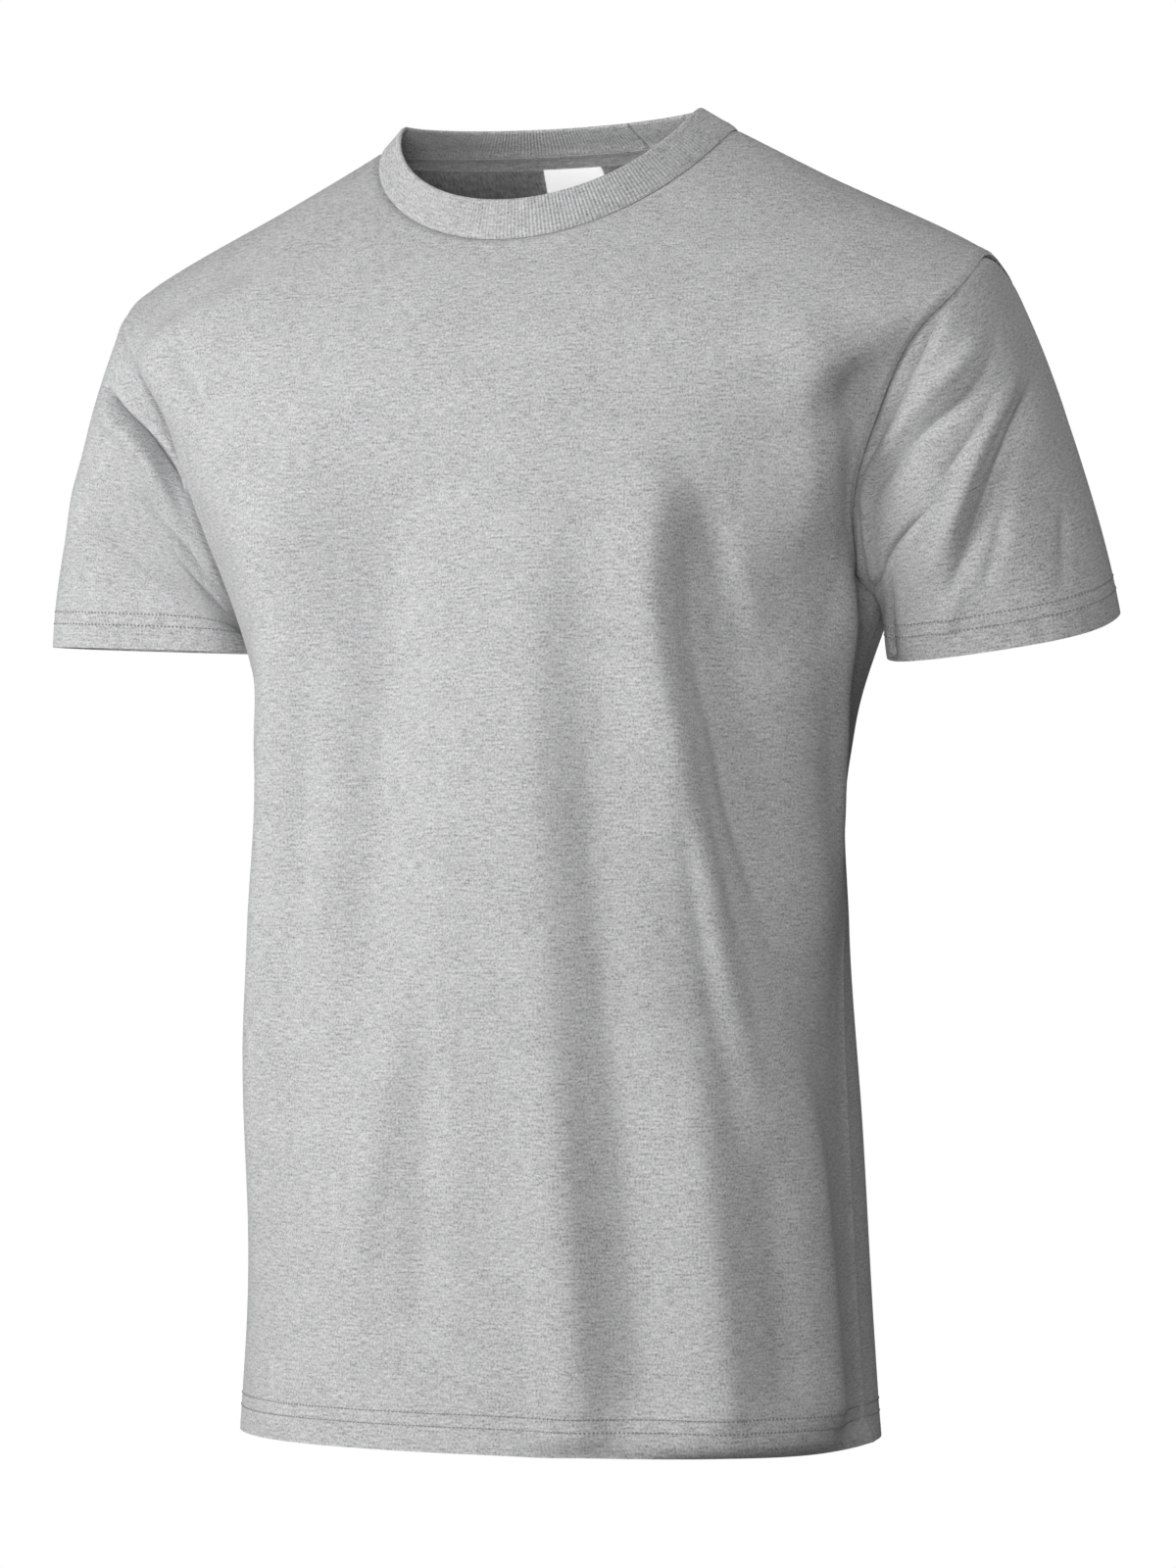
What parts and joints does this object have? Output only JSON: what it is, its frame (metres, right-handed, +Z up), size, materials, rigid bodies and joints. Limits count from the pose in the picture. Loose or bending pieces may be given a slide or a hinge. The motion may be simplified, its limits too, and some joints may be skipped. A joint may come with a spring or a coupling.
{
  "type": "crew neck t-shirt",
  "caption": "Short-sleeved crew neck T-shirt of grey jersey in its worn shape, hollow, with a ribbed neckband, set-in sleeves and turned-up hems.",
  "frame": {"origin": "middle of the neck opening, level with the neck ends of the shoulder seams, where the wearer's shoulders hold the shirt up", "axes": "+Z up, -Y towards the front of the shirt, +X towards the wearer's left"},
  "size_m": [0.5945, 0.2636, 0.6973],
  "materials": {
    "jersey": "heather grey single jersey, matt",
    "rib": "heather grey 1x1 rib, matt",
    "label": "plain white woven tape"
  },
  "bodies": {
    "root": {"front": "jersey", "back": "jersey", "sleeve_left": "jersey", "sleeve_right": "jersey", "neckband": "rib", "neck_tape": "jersey", "label": "label"}
  },
  "joints": []
}
